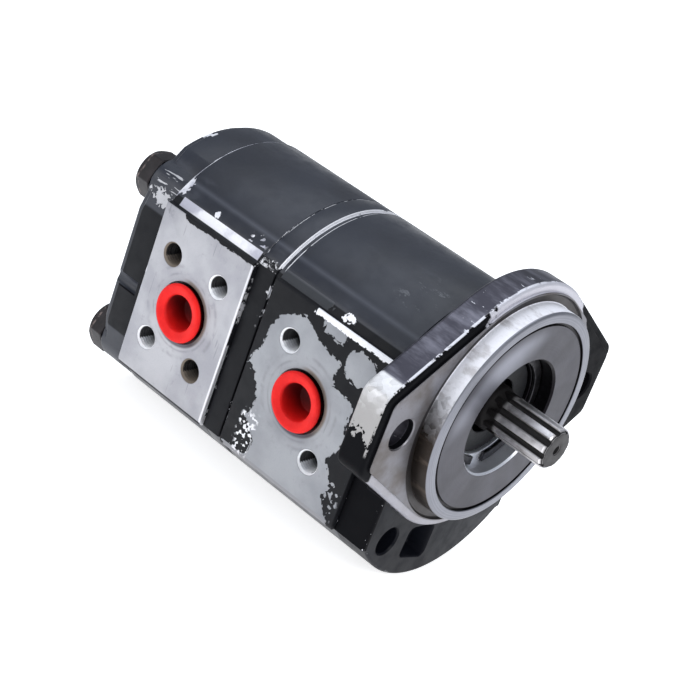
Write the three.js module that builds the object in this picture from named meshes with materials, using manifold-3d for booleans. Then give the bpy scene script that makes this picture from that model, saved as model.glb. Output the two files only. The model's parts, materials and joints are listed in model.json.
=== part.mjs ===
// Tandem hydraulic gear pump with a two-bolt mounting flange and a splined drive shaft.
// Millimetres. The origin is on the drive shaft's axis in the plane of the mounting face.
// +X points out of the shaft end, +Z points up, and the visible ports face -Y.
import * as THREE from 'three';
import { mergeVertices } from 'three/addons/utils/BufferGeometryUtils.js';
import Module from 'manifold-3d';

const wasm = await Module();
wasm.setup();

// ---------- driving dimensions ----------

// Stations along the shaft axis.
const shaftEnd = 26.5;
const pilotFace = 6.4;
const flangeBorder = -1.2;
const lowerFace = -4.5;
const flangeBack = -12.5;
const frontJoint = -18.5;
const plateFront = -75;
const plateBack = -85.5;
const rearJoint = -131;
const coverEdge = -144.5;
const coverBack = -147;
const seam = 0.1;

// Housing section.
const gearCentres = 39;
const middleZ = -gearCentres / 2;
const domeRadius = 50;
const domeTopZ = -14.7;
const domeBottomZ = -21.5;
const plateLip = 2.2;
const plateLipInset = 0.9;
const sideHalf = 40.4;
const portFaceHalf = 42.6;
const portFaceTop = 14;
const portFaceBottom = -53;

// Mounting flange, to SAE A with two bolts.
const pilotRadius = 41.275;
const earSpacing = 106.4;
const earHoleRadius = 5.55;
const flangeRadius = 48.3;
const earHalf = 66;
const earCorner = 5;
const earSlope = 0.982;
const padInset = 3;
const reliefRadius = 44.5;
const faceGrooveRadius = 36.8;
const sealBoreRadius = 22.5;
const sealBoreFloor = -1;
const sealSeatRadius = 18.6;
const sealSeatFloor = -9.5;
const grooveDepth = 1.2;
const pocketDepth = 8;

// Tie bolts, M10 with 17 mm heads. They screw into the front cover.
const tieBoltY = 27.6;
const tieBoltZ = 32.1;
const tieBoltRadius = 5;
const tieBoltHole = 5.4;
const boltHeadFlats = 17;
const boltHeadHeight = 7.9;
const boltTip = -9.5;

// Ports.
const frontPortX = -48.7;
const rearPortX = -109.2;
const portRadius = 9.6;
const portMouthRadius = 11.2;
const portMouthDepth = 1.5;
const portFloorY = 5;
const portSpacingX = 24;
const portSpacingZ = 34.4;
const portScrewRadius = 3.4;
const portScrewMouth = 3.9;
const portScrewDepth = 13;

// Gears, shafts and bearings.
const teeth = 12;
const pressureAngle = THREE.MathUtils.degToRad(25);
const backlash = 0.3;
const tipRadius = 22.4;
const rootRadius = 15.9;
const chamberRadius = 22.8;
const frontGearWidth = 24;
const rearGearWidth = 16;
const journalRadius = 10.2;
const runningGap = 0.3;
const linerWall = 1.5;
const blockRadius = 22.5;
const splineTeeth = 9;
const splineRadius = 7.8;
const splineRoot = 6.4;
const sealShaftRadius = 8.6;
const couplingRadius = 10.2;
const shaftRecessRadius = 14;
const endRecessRadius = 12.5;
const endRecessDepth = 3.5;

// ---------- shapes and solids ----------

// An extrusion runs along its own Z and a lathe turns about its own Y. These lay both along X.
const extrusionToX = new THREE.Matrix4().makeBasis(
  new THREE.Vector3(0, 1, 0), new THREE.Vector3(0, 0, 1), new THREE.Vector3(1, 0, 0));
const latheToX = new THREE.Matrix4().makeBasis(
  new THREE.Vector3(0, 1, 0), new THREE.Vector3(1, 0, 0), new THREE.Vector3(0, 0, -1));

function toSolid(geometry) {
  geometry.deleteAttribute('normal');
  geometry.deleteAttribute('uv');
  const merged = mergeVertices(geometry, 1e-4);
  const vertProperties = new Float32Array(merged.attributes.position.array);
  const triVerts = new Uint32Array(merged.index.array);
  return new wasm.Manifold(new wasm.Mesh({ numProp: 3, vertProperties, triVerts }));
}

function toGeometry(solid) {
  const mesh = solid.getMesh();
  const geometry = new THREE.BufferGeometry();
  geometry.setAttribute('position', new THREE.BufferAttribute(new Float32Array(mesh.vertProperties), 3));
  geometry.setIndex(new THREE.BufferAttribute(new Uint32Array(mesh.triVerts), 1));
  geometry.computeVertexNormals();
  return geometry;
}

function arc(cy, cz, radius, from, to, steps) {
  const points = [];
  for (let i = 0; i <= steps; i += 1) {
    const angle = from + (to - from) * i / steps;
    points.push(new THREE.Vector2(cy + radius * Math.cos(angle), cz + radius * Math.sin(angle)));
  }
  return points;
}

function circle(cy, cz, radius, steps = 16) {
  return arc(cy, cz, radius, 0, 2 * Math.PI, steps).slice(0, -1);
}

// A closed outline in the YZ plane, run along X from one station to another.
function prism(outline, x0, x1, holes = []) {
  const shape = new THREE.Shape(outline);
  shape.holes = holes.map((points) => new THREE.Path(points));
  const geometry = new THREE.ExtrudeGeometry(shape, { depth: x1 - x0, bevelEnabled: false });
  geometry.applyMatrix4(extrusionToX);
  geometry.translate(x0, 0, 0);
  return toSolid(geometry);
}

// A closed profile of [distance along the axis, radius] points, turned about the Y axis.
function lathe(profile, steps) {
  const points = profile.map(([along, radius]) => new THREE.Vector2(radius, along));
  points.push(points[0].clone());
  if (THREE.ShapeUtils.area(points) < 0) points.reverse();
  return new THREE.LatheGeometry(points, steps);
}

function turned(profile, steps = 24) {
  return toSolid(lathe(profile, steps).applyMatrix4(latheToX));
}

// The same about Y. The profile is measured towards +Y, or towards -Y where side is -1.
function turnedAlongY(profile, side, steps = 16) {
  const solid = toSolid(lathe(profile, steps));
  return side > 0 ? solid : solid.rotate([0, 0, 180]);
}

function union(solids) {
  return solids.reduce((total, solid) => total.add(solid));
}

function cut(solid, tools) {
  return tools.reduce((rest, tool) => rest.subtract(tool), solid);
}

function rod(cy, cz, radius, x0, x1, steps = 16) {
  return prism(circle(cy, cz, radius, steps), x0, x1);
}

// Two equal circles on the gear axes, joined where they cross.
function eight(radius, steps = 10) {
  const cross = Math.asin(gearCentres / 2 / radius);
  const upper = arc(0, 0, radius, -cross, Math.PI + cross, steps);
  const lower = arc(0, -gearCentres, radius, Math.PI - cross, 2 * Math.PI + cross, steps);
  return [...upper, ...lower.slice(1, -1)];
}

// Two equal half circles on the gear axes, joined by straight sides.
function stadium(radius, steps = 8) {
  return [
    ...arc(0, 0, radius, 0, Math.PI, steps),
    ...arc(0, -gearCentres, radius, Math.PI, 2 * Math.PI, steps),
  ];
}

function mirrorY(points) {
  return points.map((p) => new THREE.Vector2(-p.x, p.y)).reverse();
}

function mirrorZ(points) {
  return points.map((p) => new THREE.Vector2(p.x, 2 * middleZ - p.y)).reverse();
}

// A section with a shoulder at each corner and a dome above and below, whose centres differ.
function domed(shoulder, radius, domeY, steps) {
  const rise = Math.acos(domeY / radius);
  const half = (centreZ) => [
    ...shoulder,
    ...arc(0, centreZ, radius, rise, Math.PI - rise, steps),
    ...mirrorY(shoulder),
  ];
  return [...half(domeTopZ), ...mirrorZ(half(2 * middleZ - domeBottomZ))];
}

// The castings' section: flat sides, a bevel at each shoulder, and the domes.
function housing(inset = 0) {
  const bevel = 2;
  const half = sideHalf - inset;
  return domed([new THREE.Vector2(half, portFaceTop - 0.4)], domeRadius - inset, half - bevel, 12);
}

function tieBoltPlaces() {
  const places = [];
  for (const side of [-1, 1]) {
    for (const level of [1, -1]) {
      places.push({ y: side * tieBoltY, z: middleZ + level * tieBoltZ, side, level });
    }
  }
  return places;
}

// ---------- the scene graph ----------

const group = new THREE.Group();

const finishes = {
  paint: new THREE.MeshStandardMaterial({ color: 0x33353b, roughness: 0.35, metalness: 0.2 }),
  machined: new THREE.MeshStandardMaterial({ color: 0x9a9a9e, roughness: 0.35, metalness: 0.9 }),
  aluminium: new THREE.MeshStandardMaterial({ color: 0xc9cacd, roughness: 0.45, metalness: 0.9 }),
  steel: new THREE.MeshStandardMaterial({ color: 0x56555a, roughness: 0.3, metalness: 1 }),
  bolt: new THREE.MeshStandardMaterial({ color: 0x2e2628, roughness: 0.4, metalness: 0.6 }),
  bronze: new THREE.MeshStandardMaterial({ color: 0x9c7b4e, roughness: 0.5, metalness: 0.8 }),
  rubber: new THREE.MeshStandardMaterial({ color: 0x17171a, roughness: 0.8, metalness: 0 }),
  nylon: new THREE.MeshStandardMaterial({ color: 0xe6e2d6, roughness: 0.6, metalness: 0 }),
  plug: new THREE.MeshStandardMaterial({ color: 0xe8201c, roughness: 0.45, metalness: 0 }),
};

function place(name, solid, finish, position = [0, 0, 0]) {
  const mesh = new THREE.Mesh(toGeometry(solid), finishes[finish].clone());
  mesh.name = name;
  mesh.position.set(...position);
  group.add(mesh);
}

// ---------- castings ----------

function flangeOutline(inset, steps = 10) {
  const radius = flangeRadius - inset;
  const corner = earCorner - inset * 0.5;
  const cornerY = earHalf - inset - corner;
  const cornerZ = (radius - corner - cornerY * Math.cos(earSlope)) / Math.sin(earSlope);
  const quarter = arc(cornerY, cornerZ, corner, 0, earSlope, 2);
  const upper = [
    ...quarter,
    ...arc(0, 0, radius, earSlope, Math.PI - earSlope, steps),
    ...quarter.map((p) => new THREE.Vector2(-p.x, p.y)).reverse(),
  ];
  return [...upper, ...upper.map((p) => new THREE.Vector2(-p.x, -p.y))];
}

function jointHoles(x0, x1) {
  return tieBoltPlaces().map(({ y, z }) => rod(y, z, tieBoltHole, x0, x1, 10));
}

const dowelRadius = 2.5;
const dowelLength = 10;
const dowelPlaces = [[-33.5, -31], [33.5, -8]];

function dowelHoles(x) {
  const half = dowelLength / 2 + 0.5;
  return dowelPlaces.map(([y, z]) => rod(y, z, dowelRadius + 0.3, x - half, x + half, 6));
}

const jointSealDepth = 1.6;
const jointSealInner = 23.75;
const jointSealOuter = 24.75;

function jointGroove(x, direction) {
  const ends = [x - direction * 0.5, x + direction * jointSealDepth].sort((a, b) => a - b);
  const outer = stadium(jointSealOuter + 0.3);
  return prism(outer, ends[0], ends[1], [stadium(jointSealInner - 0.3).reverse()]);
}

// The cast pocket beside the lower tie-bolt hole in the front cover.
function pocketOutline() {
  return [
    ...arc(-3, -53, 2, 0, Math.PI / 2, 2),
    ...arc(-13, -52, 2, Math.PI / 2, Math.PI, 2),
    ...arc(-13.5, -59.5, 2, Math.PI, 1.5 * Math.PI, 2),
    ...arc(-3, -62, 2, 1.5 * Math.PI, 2 * Math.PI, 2),
  ];
}

function buildFrontCover() {
  const back = frontJoint + seam / 2;
  const grooveFloor = pilotFace - grooveDepth;
  const ringInner = faceGrooveRadius + 0.5;
  const pilot = turned([
    [flangeBack, 0], [flangeBack, pilotRadius], [pilotFace - 0.8, pilotRadius],
    [pilotFace, pilotRadius - 0.8], [pilotFace, ringInner], [grooveFloor, ringInner],
    [grooveFloor, ringInner - 1], [pilotFace - 0.4, ringInner - 1], [pilotFace - 0.4, 0],
  ], 40);
  const blank = union([
    prism(housing(), back, lowerFace),
    prism(flangeOutline(0), flangeBack, flangeBorder),
    prism(flangeOutline(padInset), flangeBack, 0),
  ]);
  const relief = turned([[-0.9, 0], [-0.9, reliefRadius], [9, reliefRadius], [9, 0]], 40);
  const bore = turned([
    [sealSeatFloor, 0], [sealSeatFloor, sealSeatRadius], [sealBoreFloor, sealSeatRadius],
    [sealBoreFloor, sealBoreRadius], [9, sealBoreRadius], [9, 0],
  ], 32);
  const tools = [
    bore,
    rod(0, 0, journalRadius + 1.5, back - 1, 0),
    rod(0, 0, shaftRecessRadius, back - 1, back + 3),
    rod(0, -gearCentres, journalRadius + 1, back - 1, back + 3),
    ...[-1, 1].map((side) => rod(side * earSpacing / 2, 0, earHoleRadius, -20, 5)),
    ...tieBoltPlaces().map(({ y, z, side, level }) => {
      const opensForward = side < 0 && level < 0;
      return rod(y, z, tieBoltHole, back - 1, opensForward ? 0 : lowerFace - 2, 12);
    }),
    prism(pocketOutline(), lowerFace - pocketDepth, lowerFace + 1),
    ...dowelHoles(frontJoint),
  ];
  place('front_cover', cut(blank.subtract(relief).add(pilot), tools), 'paint');
}

// The bore of a port and its four screw holes, in the face on one side of a body.
function portTools(portX, side) {
  const past = portFaceHalf + 2;
  const mouth = portFaceHalf - portMouthDepth;
  const bore = turnedAlongY([[portFloorY, 0], [portFloorY, portRadius], [mouth, portRadius],
    [mouth, portMouthRadius], [past, portMouthRadius], [past, 0]], side);
  const screw = turnedAlongY([[-portScrewDepth, 0], [-portScrewDepth, portScrewRadius],
    [-0.6, portScrewRadius], [0.1, portScrewMouth], [2, portScrewMouth], [2, 0]], side, 8);
  const tools = [bore.translate([portX, 0, middleZ])];
  for (const dx of [-1, 1]) {
    for (const dz of [-1, 1]) {
      tools.push(screw.translate([
        portX + dx * portSpacingX / 2, side * portFaceHalf, middleZ + dz * portSpacingZ / 2]));
    }
  }
  return tools;
}

// The castings' section with a raised pad on each side, round two gear chambers.
function buildBody(name, x0, x1, portX, screwsOnOneDiagonal) {
  const start = x0 + seam / 2;
  const end = x1 - seam / 2;
  const padBevel = 0.6;
  const padRight = [
    new THREE.Vector2(portFaceHalf - padBevel, portFaceBottom),
    new THREE.Vector2(portFaceHalf, portFaceBottom + padBevel),
    new THREE.Vector2(portFaceHalf, portFaceTop),
  ];
  const pad = [...padRight, ...mirrorY(padRight)];
  const blank = prism(housing(), start, end).add(prism(pad, start, end));
  const [bore, ...screws] = portTools(portX, -1);
  const tools = [
    prism(eight(chamberRadius, 22), start - 1, end + 1),
    bore,
    ...(screwsOnOneDiagonal ? [screws[1], screws[2]] : screws),
    ...portTools(portX, 1),
    ...jointHoles(start - 1, end + 1),
    ...dowelHoles(x0),
    ...dowelHoles(x1),
    jointGroove(start, 1),
    jointGroove(end, -1),
  ];
  place(name, cut(blank, tools), 'paint');
}

function buildCenterPlate() {
  const start = plateBack + seam / 2;
  const end = plateFront - seam / 2;
  const tools = [
    rod(0, 0, couplingRadius + 1, start - 1, end + 1),
    ...jointHoles(start - 1, end + 1),
    ...dowelHoles(plateBack),
    ...dowelHoles(plateFront),
  ];
  const blank = prism(housing(), start, end - plateLip).add(prism(housing(plateLipInset), start, end));
  place('center_plate', cut(blank, tools), 'paint');
}

const coverHalf = 39.5;
const coverStep = 1.2;
const lugRadius = 9.3;
const notchRadius = 2.8;
const notchZ = -25;

function rearCoverOutline(shrink) {
  const lugZ = middleZ + tieBoltZ;
  const shoulder = [
    new THREE.Vector2(coverHalf - shrink, 3),
    ...arc(tieBoltY, lugZ, lugRadius - shrink, 0, 1.3, 3),
  ];
  return domed(shoulder, domeRadius - 0.6 - shrink, 26 - shrink, 8);
}

function buildRearCover() {
  const front = rearJoint - seam / 2;
  const blank = union([
    prism(rearCoverOutline(0), coverEdge, front),
    prism(rearCoverOutline(coverStep), coverBack, coverEdge + 1),
    ...tieBoltPlaces().map(({ y, z }) => rod(y, z, lugRadius, coverBack, coverEdge + 1)),
  ]);
  const tools = [
    rod(0, 0, endRecessRadius, front - endRecessDepth, front + 1),
    rod(0, -gearCentres, endRecessRadius, front - endRecessDepth, front + 1),
    rod(-coverHalf - 0.4, notchZ, notchRadius, coverBack - 1, rearJoint - 4, 10),
    ...jointHoles(coverBack - 1, front + 1),
    ...dowelHoles(rearJoint),
  ];
  place('rear_cover', cut(blank, tools), 'paint');
}

// ---------- gears and shafts ----------

function involute(angle) {
  return Math.tan(angle) - angle;
}

// Involute teeth with straight radial flanks below the base circle.
// One tooth is centred on the given angle.
function gearOutline(toothAngle) {
  const pitchRadius = gearCentres / 2;
  const baseRadius = pitchRadius * Math.cos(pressureAngle);
  const pitch = 2 * Math.PI / teeth;
  const halfAtPitch = pitch / 4 - backlash / 4 / pitchRadius;
  const halfAtBase = halfAtPitch + involute(pressureAngle);
  const radii = [baseRadius, 19.6, tipRadius];
  const points = [];
  for (let tooth = 0; tooth < teeth; tooth += 1) {
    const centre = toothAngle + tooth * pitch;
    const flank = radii.map((radius) => {
      return { radius, half: halfAtBase - involute(Math.acos(baseRadius / radius)) };
    });
    flank.unshift({ radius: rootRadius, half: halfAtBase + 0.02 });
    for (const { radius, half } of flank) points.push(polar(radius, centre - half));
    for (const { radius, half } of flank.reverse()) points.push(polar(radius, centre + half));
  }
  return points;
}

function polar(radius, angle) {
  return new THREE.Vector2(radius * Math.cos(angle), radius * Math.sin(angle));
}

function splineOutline(count, outer, inner, clearance = 0) {
  const points = [];
  const pitch = 2 * Math.PI / count;
  for (let i = 0; i < count; i += 1) {
    const centre = Math.PI / 2 + i * pitch;
    points.push(polar(inner + clearance, centre - pitch * 0.32 - clearance / outer));
    points.push(polar(outer + clearance, centre - pitch * 0.19 - clearance / outer));
    points.push(polar(outer + clearance, centre + pitch * 0.19 + clearance / outer));
    points.push(polar(inner + clearance, centre + pitch * 0.32 + clearance / outer));
  }
  return points;
}

const toothUp = Math.PI / 2;
const gapUp = Math.PI / 2 + Math.PI / teeth;
const frontGear = [frontPortX - frontGearWidth / 2, frontPortX + frontGearWidth / 2];
const rearGear = [rearPortX - rearGearWidth / 2, rearPortX + rearGearWidth / 2];
const innerSplineRadius = 6.6;
const innerSplineRoot = 5.4;

function journal(x0, x1, radius = journalRadius) {
  const chamfer = 0.8;
  return turned([[x0, 0], [x0, radius - chamfer], [x0 + chamfer, radius],
    [x1 - chamfer, radius], [x1, radius - chamfer], [x1, 0]], 20);
}

function buildDriveShaft() {
  const runout = 1.5;
  const splinedEnd = prism(splineOutline(splineTeeth, splineRadius, splineRoot), 0, shaftEnd);
  const chamferedEnd = turned([[-1, 0], [-1, 9], [shaftEnd - 1.6, 9], [shaftEnd, 6.9], [shaftEnd, 0]], 27);
  const solid = union([
    splinedEnd.intersect(chamferedEnd),
    turned([[-14, 0], [-14, sealShaftRadius], [0, sealShaftRadius], [runout, splineRoot], [runout, 0]]),
    journal(plateFront + 0.8, -12),
    prism(gearOutline(toothUp), frontGear[0], frontGear[1]),
    prism(splineOutline(8, innerSplineRadius, innerSplineRoot), plateFront - 4.4, plateFront + 2),
  ]);
  place('drive_shaft', solid, 'steel');
}

function buildRearDriveGear() {
  const solid = union([
    journal(rearJoint - 1.5, plateBack - 0.8),
    prism(gearOutline(toothUp), rearGear[0], rearGear[1]),
    prism(splineOutline(8, innerSplineRadius, innerSplineRoot), plateBack - 2, plateBack + 4.4),
  ]);
  place('rear_drive_gear', solid, 'steel');
}

function buildDrivenGear(name, x0, x1, gear) {
  const solid = journal(x0, x1).add(prism(gearOutline(gapUp), gear[0], gear[1]));
  place(name, solid, 'steel', [0, 0, -gearCentres]);
}

function buildCoupling() {
  const length = [plateBack + 0.9, plateFront - 0.9];
  const sleeve = rod(0, 0, couplingRadius, length[0], length[1]);
  const bore = prism(splineOutline(8, innerSplineRadius, innerSplineRoot, 0.3), length[0] - 1, length[1] + 1);
  place('shaft_coupling', sleeve.subtract(bore), 'steel');
}

// ---------- bearings and their seals ----------

const linerOuter = journalRadius + runningGap + linerWall;
const blockGap = 0.25;
const blockGrooveDepth = 2.4;
const sealThickness = 1.2;
const backupThickness = 0.6;

// A bearing block fills the space between one end of a body and its gears.
// The seal groove is in the end that faces away from the gears.
function buildBearingBlock(name, x0, x1, outward) {
  const outerEnd = outward > 0 ? x1 : x0;
  const bores = [0, -gearCentres].map((z) => rod(0, z, linerOuter + 0.3, x0 - 1, x1 + 1));
  const ends = [outerEnd - outward * blockGrooveDepth, outerEnd + outward].sort((a, b) => a - b);
  const groove = prism(eight(20.4), ends[0], ends[1],
    [circle(0, 0, 17.8).reverse(), circle(0, -gearCentres, 17.8).reverse()]);
  place(`${name}_bearing_block`, cut(prism(eight(blockRadius), x0, x1), [...bores, groove]), 'aluminium');
  for (const [which, z] of [['drive', 0], ['driven', -gearCentres]]) {
    const liner = turned([[x0 + 0.4, journalRadius + runningGap], [x0 + 0.4, linerOuter],
      [x1 - 0.4, linerOuter], [x1 - 0.4, journalRadius + runningGap]], 16);
    place(`${name}_${which}_liner`, liner, 'bronze', [0, 0, z]);
  }
  buildBlockSeals(name, outerEnd, outward);
}

function buildBlockSeals(name, outerEnd, outward) {
  const layers = [
    ['backup_seal', 1.2 + sealThickness, backupThickness, 'nylon'],
    ['pressure_seal', 0.9, sealThickness, 'rubber'],
  ];
  for (const [kind, depth, thickness, finish] of layers) {
    const centre = outerEnd - outward * (depth - thickness / 2);
    const x0 = centre - thickness / 2;
    const holes = [circle(0, 0, 18.2).reverse(), circle(0, -gearCentres, 18.2).reverse()];
    place(`${name}_${kind}`, prism(eight(20), x0, x0 + thickness, holes), finish);
  }
}

function buildJointSeal(name, x, direction) {
  const ends = [x + direction * 0.2, x + direction * (jointSealDepth - 0.2)].sort((a, b) => a - b);
  const ring = prism(stadium(jointSealOuter), ends[0], ends[1], [stadium(jointSealInner).reverse()]);
  place(name, ring, 'rubber');
}

// ---------- shaft seal, bolts, dowels and plugs ----------

function buildShaftSeal() {
  const profile = [
    [-2.2, 18.2], [-9.2, 18.2], [-9.2, 11], [-7.2, 8.9],
    [-6.4, 9.8], [-6.4, 15.5], [-3.6, 15.5], [-3.6, 10.6], [-2.2, 10.6],
  ];
  place('shaft_seal', turned(profile), 'rubber');
  const ringInner = 18.9;
  const ringOuter = sealBoreRadius - 0.3;
  const ring = turned([[-0.7, ringInner], [0.5, ringInner], [0.5, ringOuter], [-0.7, ringOuter]], 32);
  const corners = [[-3.5, -30], [3.5, -30], [3.5, -15], [-3.5, -15]];
  const gap = prism(corners.map((p) => new THREE.Vector2(...p)), -3, 3);
  place('seal_retaining_ring', ring.subtract(gap), 'machined');
}

function hexagon(flats) {
  return arc(0, 0, flats / Math.sqrt(3), 0, 2 * Math.PI, 6).slice(0, -1);
}

function buildTieBolts() {
  const length = boltTip - coverBack;
  const crown = turned([[0, 0], [0, 14], [-boltHeadHeight + 1.6, 14],
    [-boltHeadHeight, 8], [-boltHeadHeight, 0]], 18);
  const head = prism(hexagon(boltHeadFlats), -boltHeadHeight, -0.1).intersect(crown);
  const shank = turned([[-1, 0], [-1, tieBoltRadius], [length - 1, tieBoltRadius],
    [length, tieBoltRadius - 1], [length, 0]], 10);
  const names = { '-1': 'left', 1: 'right' };
  for (const { y, z, side, level } of tieBoltPlaces()) {
    const name = `tie_bolt_${level > 0 ? 'upper' : 'lower'}_${names[side]}`;
    place(name, head.add(shank), 'bolt', [coverBack, y, z]);
  }
}

function buildDowels() {
  const joints = [
    ['front', frontJoint], ['plate_front', plateFront],
    ['plate_back', plateBack], ['rear', rearJoint],
  ];
  for (const [joint, x] of joints) {
    dowelPlaces.forEach(([y, z], i) => {
      const half = dowelLength / 2;
      place(`${joint}_dowel_${i + 1}`, rod(0, 0, dowelRadius, -half, half, 6), 'steel', [x, y, z]);
    });
  }
}

// A hollow tapered plug, pressed in the port, with its open end outwards.
function buildPlug(name, portX, side) {
  const proud = 2.6;
  const profile = [
    [-9, 0], [-9, 7.6], [-0.2, 9.1], [0.4, 10.6], [proud - 0.5, 10.7], [proud, 10.2],
    [proud, 7.4], [proud - 1, 6.6], [-7.4, 5.2], [-7.4, 0],
  ];
  place(name, turnedAlongY(profile, side, 20), 'plug', [portX, side * portFaceHalf, middleZ]);
}

// ---------- assembly ----------

buildFrontCover();
buildBody('front_body', plateFront, frontJoint, frontPortX, true);
buildCenterPlate();
buildBody('rear_body', rearJoint, plateBack, rearPortX, false);
buildRearCover();
buildDriveShaft();
buildDrivenGear('front_driven_gear', plateFront + 0.8, frontJoint - 0.8, frontGear);
buildCoupling();
buildRearDriveGear();
buildDrivenGear('rear_driven_gear', rearJoint + 0.8, plateBack - 0.8, rearGear);
buildBearingBlock('front_body_front', frontGear[1] + blockGap, frontJoint - blockGap, 1);
buildBearingBlock('front_body_rear', plateFront + blockGap, frontGear[0] - blockGap, -1);
buildBearingBlock('rear_body_front', rearGear[1] + blockGap, plateBack - blockGap, 1);
buildBearingBlock('rear_body_rear', rearJoint + blockGap, rearGear[0] - blockGap, -1);
buildJointSeal('front_joint_seal', frontJoint - seam / 2, -1);
buildJointSeal('plate_front_joint_seal', plateFront + seam / 2, 1);
buildJointSeal('plate_back_joint_seal', plateBack - seam / 2, -1);
buildJointSeal('rear_joint_seal', rearJoint + seam / 2, 1);
buildShaftSeal();
buildTieBolts();
buildDowels();
buildPlug('front_outlet_plug', frontPortX, -1);
buildPlug('rear_outlet_plug', rearPortX, -1);
buildPlug('front_inlet_plug', frontPortX, 1);
buildPlug('rear_inlet_plug', rearPortX, 1);

export default group;
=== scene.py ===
import json
import math
import bpy
import bmesh
from mathutils import Matrix, Vector


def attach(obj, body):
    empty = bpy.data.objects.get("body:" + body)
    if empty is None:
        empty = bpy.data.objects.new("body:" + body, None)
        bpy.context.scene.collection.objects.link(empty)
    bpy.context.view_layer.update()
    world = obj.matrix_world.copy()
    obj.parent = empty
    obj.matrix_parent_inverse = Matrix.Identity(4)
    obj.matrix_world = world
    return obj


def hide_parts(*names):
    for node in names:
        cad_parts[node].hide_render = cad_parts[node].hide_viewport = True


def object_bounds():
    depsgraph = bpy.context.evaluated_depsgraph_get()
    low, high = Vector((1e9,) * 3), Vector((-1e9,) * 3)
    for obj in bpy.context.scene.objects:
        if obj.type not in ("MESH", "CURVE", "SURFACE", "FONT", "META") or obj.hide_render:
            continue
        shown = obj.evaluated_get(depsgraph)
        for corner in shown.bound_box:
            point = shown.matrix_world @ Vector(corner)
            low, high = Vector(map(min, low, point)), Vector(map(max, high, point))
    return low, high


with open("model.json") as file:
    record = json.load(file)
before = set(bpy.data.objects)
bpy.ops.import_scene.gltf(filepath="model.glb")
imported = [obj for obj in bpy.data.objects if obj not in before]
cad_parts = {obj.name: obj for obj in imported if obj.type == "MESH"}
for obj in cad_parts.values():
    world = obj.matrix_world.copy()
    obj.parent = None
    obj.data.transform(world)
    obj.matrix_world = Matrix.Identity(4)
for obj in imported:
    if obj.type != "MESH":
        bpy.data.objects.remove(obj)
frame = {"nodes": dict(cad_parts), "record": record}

cad_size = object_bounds()

# All lengths below are in millimetres, in the frame of the part, until a mesh is made.
MM = 0.001

SHAFT_END = 26.5
PILOT_FACE = 6.4
FLANGE_BORDER = -1.2
LOWER_FACE = -4.5
FLANGE_BACK = -12.5
FRONT_JOINT = -18.5
PLATE_FRONT = -75.0
PLATE_BACK = -85.5
REAR_JOINT = -131.0
COVER_EDGE = -144.5
COVER_BACK = -147.0
SEAM = 0.1

GEAR_CENTRES = 39.0
MIDDLE_Z = -GEAR_CENTRES / 2
DOME_RADIUS = 50.0
DOME_TOP_Z = -14.7
DOME_BOTTOM_Z = -21.5
SIDE_HALF = 40.4
SHOULDER_BEVEL = 2.0
PORT_FACE = 42.6
PORT_FACE_TOP = 14.0
PORT_FACE_BOTTOM = -53.0
PLATE_LIP = 2.2
PLATE_LIP_INSET = 0.9

PILOT_RADIUS = 41.275
EAR_SPACING = 106.4
EAR_HOLE = 5.55
FLANGE_RADIUS = 48.3
EAR_HALF = 66.0
EAR_CORNER = 5.0
EAR_SLOPE = 0.982
PAD_INSET = 3.0
RELIEF_RADIUS = 44.5
FACE_GROOVE = 36.8
SEAL_BORE = 22.5
SEAL_BORE_FLOOR = -1.0
SEAL_SEAT = 18.6
COVER_NOTCH = (-39.9, -25.0)

BOLT_Y = 27.6
BOLT_Z = 32.1
BOLT_RADIUS = 5.0
BOLT_HOLE = 5.4
BOLT_FLATS = 17.0
BOLT_HEAD = 7.9
BOLT_TIP = -9.5
LUG_RADIUS = 9.3
DOWEL_RADIUS = 2.8
DOWEL_DEPTH = 5.5
GROOVE_OUTER = 25.05
GROOVE_INNER = 23.45

FRONT_PORT_X = -48.7
REAR_PORT_X = -109.2
PORT_RADIUS = 9.6
PORT_SEAT = 11.2
PORT_MOUTH = 11.9
PORT_STEP_X = 24.0
PORT_STEP_Z = 34.4
SCREW_MOUTH = 4.9
SCREW_PITCH = 1.25

TEETH = 12
PRESSURE_ANGLE = math.radians(25)
BACKLASH = 0.3
TIP_RADIUS = 22.4
ROOT_RADIUS = 15.9
CHAMBER_RADIUS = 22.8
GEAR_HALF = 12.0
JOURNAL_RADIUS = 10.2
COUPLING_RADIUS = 12.5
SPLINES = 9
SPLINE_TIP = 7.8
SPLINE_ROOT = 6.3

BOLT_PLACES = [(side * BOLT_Y, MIDDLE_Z + level * BOLT_Z) for side in (-1, 1) for level in (1, -1)]
DOWEL_PLACES = [(-33.5, -31.0), (33.5, -8.0)]


# ---------- mesh code ----------

def new_object(name, mesh):
    thing = bpy.data.objects.new(name, mesh)
    bpy.context.scene.collection.objects.link(thing)
    return thing


def to_mesh(bm, name):
    bmesh.ops.recalc_face_normals(bm, faces=bm.faces)
    mesh = bpy.data.meshes.new(name)
    bm.to_mesh(mesh)
    bm.free()
    return mesh


def arc(cy, cz, radius, start, end, steps):
    points = []
    for i in range(steps + 1):
        angle = start + (end - start) * i / steps
        points.append((cy + radius * math.cos(angle), cz + radius * math.sin(angle)))
    return points


def circle(cy, cz, radius, steps=48):
    return arc(cy, cz, radius, 0, 2 * math.pi, steps)[:-1]


def polar(radius, angle):
    return (radius * math.cos(angle), radius * math.sin(angle))


def loft(rings):
    """A closed solid through outlines of equal length, each given as (x, [(y, z), ...])."""
    bm = bmesh.new()
    rows = [[bm.verts.new((x * MM, y * MM, z * MM)) for y, z in outline] for x, outline in rings]
    count = len(rows[0])
    for a, b in zip(rows, rows[1:]):
        for i in range(count):
            j = (i + 1) % count
            bm.faces.new((a[i], a[j], b[j], b[i]))
    bm.faces.new(rows[0])
    bm.faces.new(rows[-1])
    return to_mesh(bm, "loft")


def prism(outline, x0, x1):
    return loft([(x0, outline), (x1, outline)])


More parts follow.
